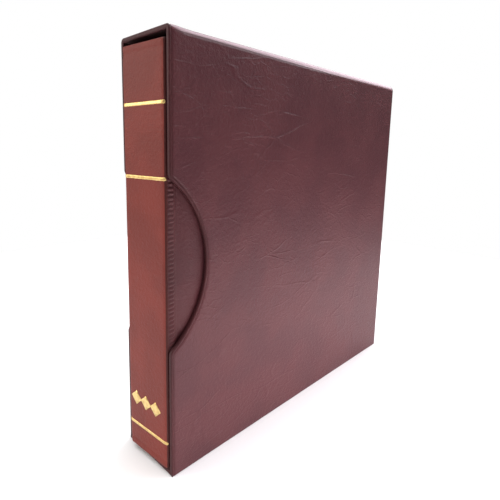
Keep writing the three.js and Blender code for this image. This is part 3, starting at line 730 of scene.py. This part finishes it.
# The padded shoulder inside the border, in millimetres: (inset from the outline, rise above the edge).
COVER_SHOULDER = [(1.4, 0.02), (2.0, 0.08), (2.8, 0.2), (3.6, 0.36), (4.6, 0.54), (6.0, 0.76), (8, 0.98)]
COVER_FIELD = 12 * MM
COVER_CORNER = 5.0 * MM


def padded_cover(side):
    """A padded cover's outer sheet: a turned edge and a soft shoulder up to a crowned field."""
    node = f"{side}_cover_skin"
    low, high = node_box(node)
    inner = low.x if side == "front" else high.x
    outward = 1.0 if side == "front" else -1.0
    full = high.x - low.x
    edge_rise = full - 1.15 * MM
    rings = [(a * MM, share * edge_rise) for a, share in COVER_EDGE]
    rings += [(inset * MM, edge_rise + rise * MM) for inset, rise in COVER_SHOULDER]
    rings += [(COVER_FIELD, full)]

    def spread(start, end, count):
        """Insets along one direction: the rings at both ends with even steps between."""
        near = [start + r[0] for r in rings]
        far = [end - r[0] for r in reversed(rings)]
        middle = np.linspace(near[-1], far[0], count)[1:-1]
        rising = list(range(len(rings)))
        levels = rising + [len(rings) - 1] * len(middle) + rising[::-1]
        return np.concatenate([near, middle, far]), levels

    ys, level_y = spread(low.y, high.y, 40)
    zs, level_z = spread(low.z, high.z, 40)
    points = []
    for z, lz in zip(zs, level_z):
        for y, ly in zip(ys, level_y):
            rise = rings[min(lz, ly)][1]
            in_y = min(y - low.y, high.y - y)
            in_z = min(z - low.z, high.z - z)
            py, pz = y, z
            if in_y < COVER_CORNER and in_z < COVER_CORNER:
                # a square ring of points becomes a round one at the cover's corner
                nearest = min(in_y, in_z)
                radius = COVER_CORNER - nearest
                share = (max(in_y, in_z) - nearest) / radius
                angle = math.radians(45 + 45 * share)
                long_leg = COVER_CORNER - radius * math.cos(angle)
                short_leg = COVER_CORNER - radius * math.sin(angle)
                leg_y, leg_z = (long_leg, short_leg) if in_y >= in_z else (short_leg, long_leg)
                py = low.y + leg_y if y - low.y < high.y - y else high.y - leg_y
                pz = low.z + leg_z if z - low.z < high.z - z else high.z - leg_z
            field = float(smooth((min(in_y, in_z) - COVER_CORNER) / SWAY_FROM_FOOT))
            sway = -0.15 * MM * field * (0.5 + soft_noise(0.0, py, pz, 40 * MM, 9.2))
            points.append((inner + outward * (rise + sway), py, pz))
    faces = grid_faces(len(zs), len(ys), flip=(side == "front"))
    piece = mesh_object(f"{side}_cover", points, faces, COVER_VINYL_PAINTED_SHADE, "album")
    thicken(piece, 0.4 * MM)
    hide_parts(node, f"{side}_cover_foam")


# ------------------------------------------------------------------ ring mechanism and pages


def ring_half(node, body):
    """A smooth round-wire half ring along the middle of the CAD one."""
    low, high = node_box(node)
    side = 1.0 if "front" in node else -1.0
    plate = node_box("ring_plate")
    middle_x = (plate[0].x + plate[1].x) / 2
    wire = (high.z - low.z) / 2
    z = (low.z + high.z) / 2
    radius = high.x - low.x + 0.15 * MM - wire
    centre_y = high.y - wire - radius
    foot_y = low.y
    shank_x = 7.3 * MM
    path = [(shank_x, foot_y), (shank_x, foot_y + 0.9 * MM), (shank_x + 0.1 * MM, foot_y + 1.9 * MM)]
    tip = math.degrees(math.acos(0.15 * MM / radius))
    path += [tuple(p) for p in arc((0.0, centre_y), radius, -44, tip, 40)]
    path = np.array(path)
    normals = polyline_normals(path)
    points = []
    turns = 18
    for (x, y), (nx, ny) in zip(path, normals):
        for k in range(turns):
            a = 2 * math.pi * k / turns
            out, up = wire * math.cos(a), wire * math.sin(a)
            points.append((middle_x + side * (x + nx * out), y + ny * out, z + up))
    faces = grid_faces(len(path), turns, close_cols=True, flip=(side > 0))
    first = tuple(range(turns))
    last = tuple((len(path) - 1) * turns + k for k in range(turns))
    faces += [first, last[::-1]] if side < 0 else [first[::-1], last]
    piece = mesh_object(node.replace("half", "wire"), points, faces, NICKEL, body)
    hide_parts(node)


def dress(node, material):
    """Gives a carried-over CAD piece its material."""
    mesh_slots = frame["nodes"][node].material_slots
    for material_slot in mesh_slots:
        material_slot.link = "OBJECT"
        material_slot.material = material


def dress_cad():
    for node in frame["nodes"]:
        if node.endswith("_board"):
            dress(node, BOARD)
        elif node.endswith("_lining"):
            dress(node, LINING)
        elif node.endswith("_foam"):
            dress(node, FOAM)
        elif node.startswith("stock_page"):
            dress(node, FILM)
        elif node.startswith(("ring_", "rivet_", "lever_")):
            dress(node, NICKEL)


RINGS = 4


def build():
    case_cover()
    spine_cover()
    foil_lines()
    foil_ornament()
    for side in ("front", "back"):
        hinge_strip(side)
        padded_cover(side)
        for number in range(1, RINGS + 1):
            ring_half(f"ring_{number}_half_{side}", f"leaf_{side}")
    dress_cad()


# ------------------------------------------------------------------ stage, light and camera


FLOOR_SIZE = 1.3


def plain_material(name, colour, roughness):
    n = Nodes(name)
    n.shader.inputs["Base Color"].default_value = colour
    n.shader.inputs["Roughness"].default_value = roughness
    return n.material


def stage():
    """A plain pale floor."""
    bpy.ops.mesh.primitive_plane_add(size=FLOOR_SIZE, location=(0, 0, cad_low[2]))
    floor = bpy.context.object
    floor.name = "floor"
    floor.data.materials.append(plain_material("floor_white", (0.90, 0.90, 0.90, 1), 0.8))


def lamp(name, kind, place, target, power, colour, shows_in_gloss=True):
    """A light that the camera doesn't see, aimed at a target."""
    data = bpy.data.lights.new(name, kind)
    data.energy = power
    data.color = colour
    lit = bpy.data.objects.new(name, data)
    lit.location = place
    lit.rotation_mode = "QUATERNION"
    lit.rotation_quaternion = (Vector(target) - Vector(place)).to_track_quat("-Z", "Y")
    lit.visible_camera = False
    lit.visible_glossy = shows_in_gloss
    bpy.context.collection.objects.link(lit)
    return data


def world_light():
    """A white backdrop seen directly, and a dim neutral room as light."""
    world = bpy.data.worlds.new("studio")
    world.use_nodes = True
    tree = world.node_tree
    room = tree.nodes["Background"]
    room.inputs["Color"].default_value = (0.95, 0.96, 1.0, 1)
    room.inputs["Strength"].default_value = 0.22
    backdrop = tree.nodes.new("ShaderNodeBackground")
    backdrop.inputs["Color"].default_value = (1.0, 1.0, 1.0, 1)
    rays = tree.nodes.new("ShaderNodeLightPath")
    choose = tree.nodes.new("ShaderNodeMixShader")
    tree.links.new(rays.outputs["Is Camera Ray"], choose.inputs["Fac"])
    tree.links.new(room.outputs["Background"], choose.inputs[1])
    tree.links.new(backdrop.outputs["Background"], choose.inputs[2])
    tree.links.new(choose.outputs["Shader"], tree.nodes["World Output"].inputs["Surface"])
    bpy.context.scene.world = world


def soft_box(name, place, target, size, power, colour, shows_in_gloss=True):
    data = lamp(name, "AREA", place, target, power, colour, shows_in_gloss)
    data.shape = "RECTANGLE"
    data.size, data.size_y = size


def lighting():
    """A soft room: a broad ceiling light, soft boxes behind and on the spine's side, a low side light."""
    world_light()
    ceiling = lamp("ceiling", "SUN", (-0.25, -0.2, 2.0), (0, 0, 0), 2.7, (1.0, 1.0, 1.0))
    ceiling.angle = math.radians(70)
    soft_box("rear_soft_box", (0.2, 1.3, 1.9), (0, 0, 0.27), (2.4, 2.4), 56, (1.0, 0.94, 1.0))
    soft_box("spine_light", (-0.95, -1.15, 0.6), (0, -0.13, 0.14), (0.8, 0.8), 11.0, (1.0, 0.93, 0.87))
    low_target = (CASE_HALF, 0.03, 0.0)
    soft_box("low_side_light", (0.21, 0.03, 0.02), low_target, (0.40, 0.06), 0.85, (1.0, 0.96, 0.96), False)


def camera():
    """Close to the near corner and a little below the top, looking slightly down."""
    data = bpy.data.cameras.new("camera")
    data.sensor_width = 36
    data.lens = 29.21
    data.shift_x = 0.0111
    data.shift_y = -0.0685
    data.clip_start = 0.01
    cam = bpy.data.objects.new("camera", data)
    cam.location = (213.9 * MM, MOUTH_Y - 131.75 * MM, 203.25 * MM)
    forward = Vector((-0.6929, 0.70403, -0.1557)).normalized()
    right = Vector((0.71024, 0.70365, 0.02099))
    right = (right - forward * right.dot(forward)).normalized()
    up = right.cross(forward)
    turn = Matrix((right, up, -forward)).transposed().to_4x4()
    cam.matrix_world = Matrix.Translation(cam.location) @ turn
    bpy.context.collection.objects.link(cam)
    bpy.context.scene.camera = cam


camera()
stage()
lighting()
build()
bpy.context.scene.view_settings.view_transform = "Standard"
